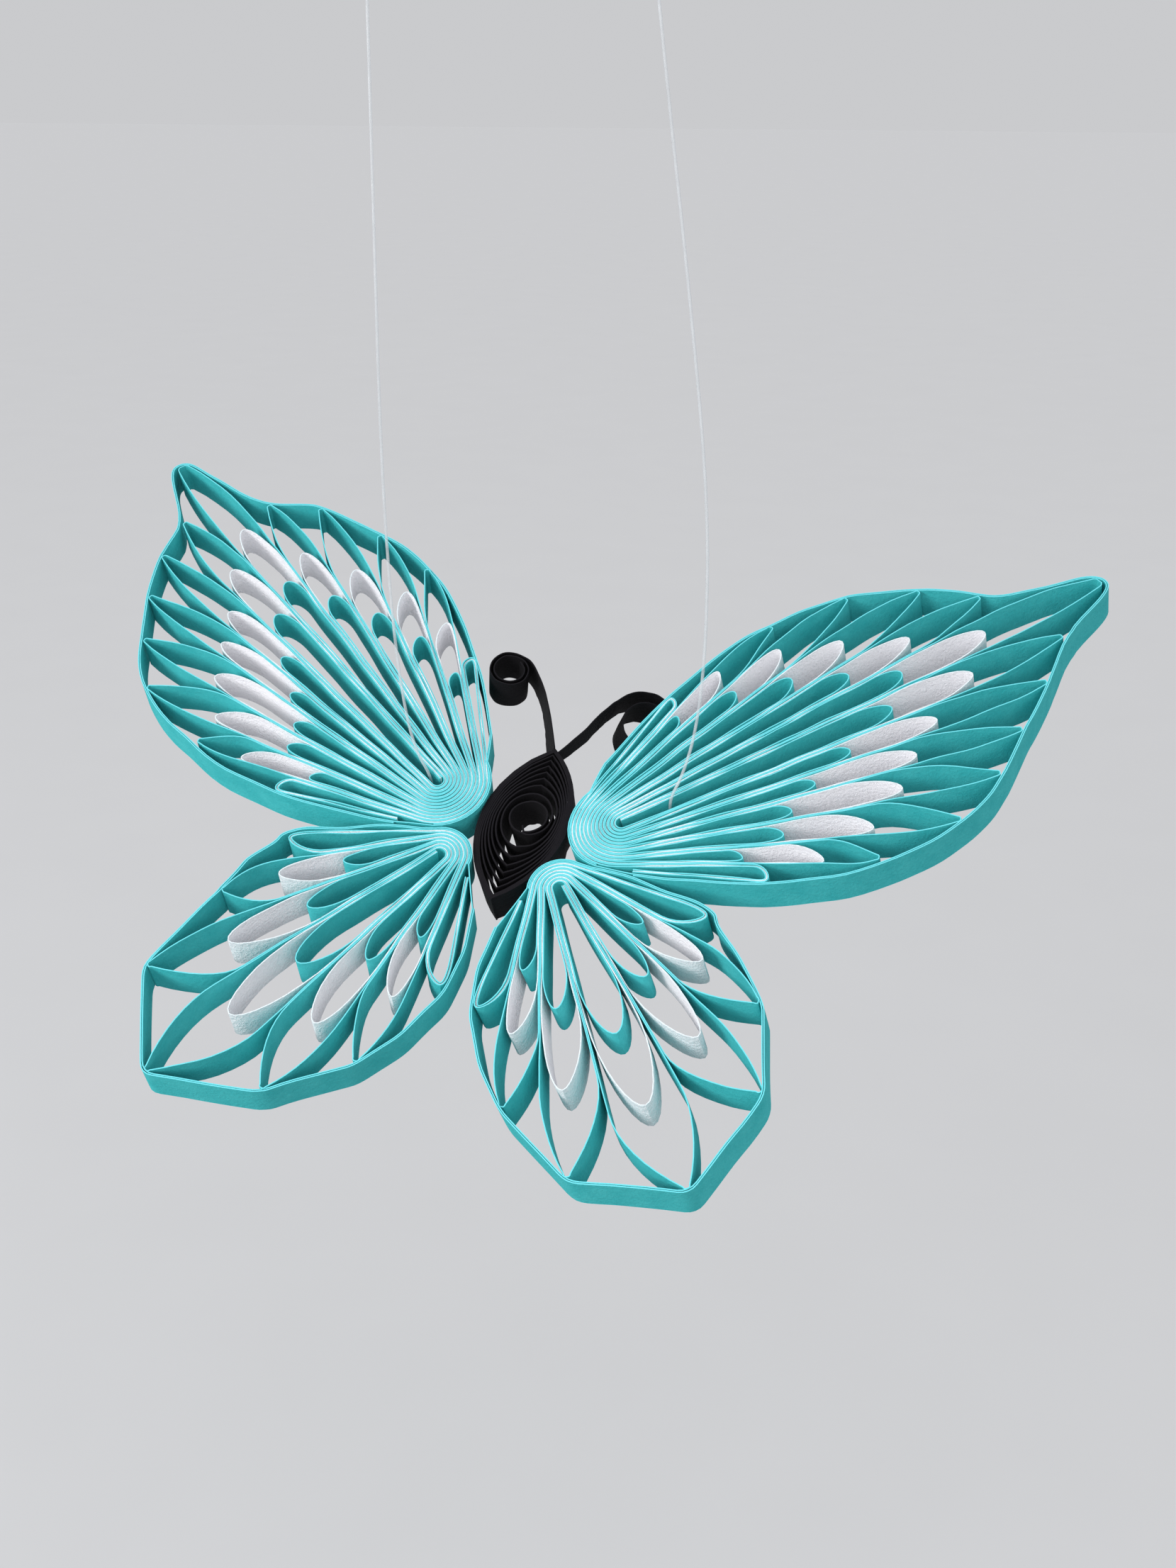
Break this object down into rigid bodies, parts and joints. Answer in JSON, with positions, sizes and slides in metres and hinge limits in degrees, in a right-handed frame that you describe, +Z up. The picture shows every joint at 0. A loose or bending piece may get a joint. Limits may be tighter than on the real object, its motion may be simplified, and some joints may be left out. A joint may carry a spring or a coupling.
{
  "type": "quilled paper butterfly",
  "caption": "Hanging butterfly of rolled and looped paper strips on edge, with combed teal and white wings, a black rolled body, coiled antennae and clear lines.",
  "frame": {"origin": "level with the tops of the loops that the two lines end in, directly over the centre of the body, which hangs 112 mm below", "axes": "+Z up, +X to the viewer's right along the wingspan, -Y towards the viewer, who sees the front of the wings; the head points up and back"},
  "size_m": [0.1389, 0.0835, 0.1408],
  "materials": {
    "teal_paper": "matte coloured paper strip with paler cut edges",
    "white_paper": "matte white paper strip",
    "black_paper": "matte black paper strip with greyer cut edges",
    "clear_line": "clear nylon line"
  },
  "bodies": {
    "root": {"upper_left_wing_first_teal_strip": "teal_paper", "upper_left_wing_white_strip": "white_paper", "upper_left_wing_second_teal_strip": "teal_paper", "upper_left_wing_border_strip": "teal_paper", "upper_right_wing_first_teal_strip": "teal_paper", "upper_right_wing_white_strip": "white_paper", "upper_right_wing_second_teal_strip": "teal_paper", "upper_right_wing_border_strip": "teal_paper", "lower_left_wing_first_teal_strip": "teal_paper", "lower_left_wing_white_strip": "white_paper", "lower_left_wing_second_teal_strip": "teal_paper", "lower_left_wing_border_strip": "teal_paper", "lower_right_wing_first_teal_strip": "teal_paper", "lower_right_wing_white_strip": "white_paper", "lower_right_wing_second_teal_strip": "teal_paper", "lower_right_wing_border_strip": "teal_paper", "body_roll": "black_paper", "left_antenna": "black_paper", "right_antenna": "black_paper", "left_line": "clear_line", "left_line_loop": "clear_line", "right_line": "clear_line", "right_line_loop": "clear_line"}
  },
  "joints": []
}
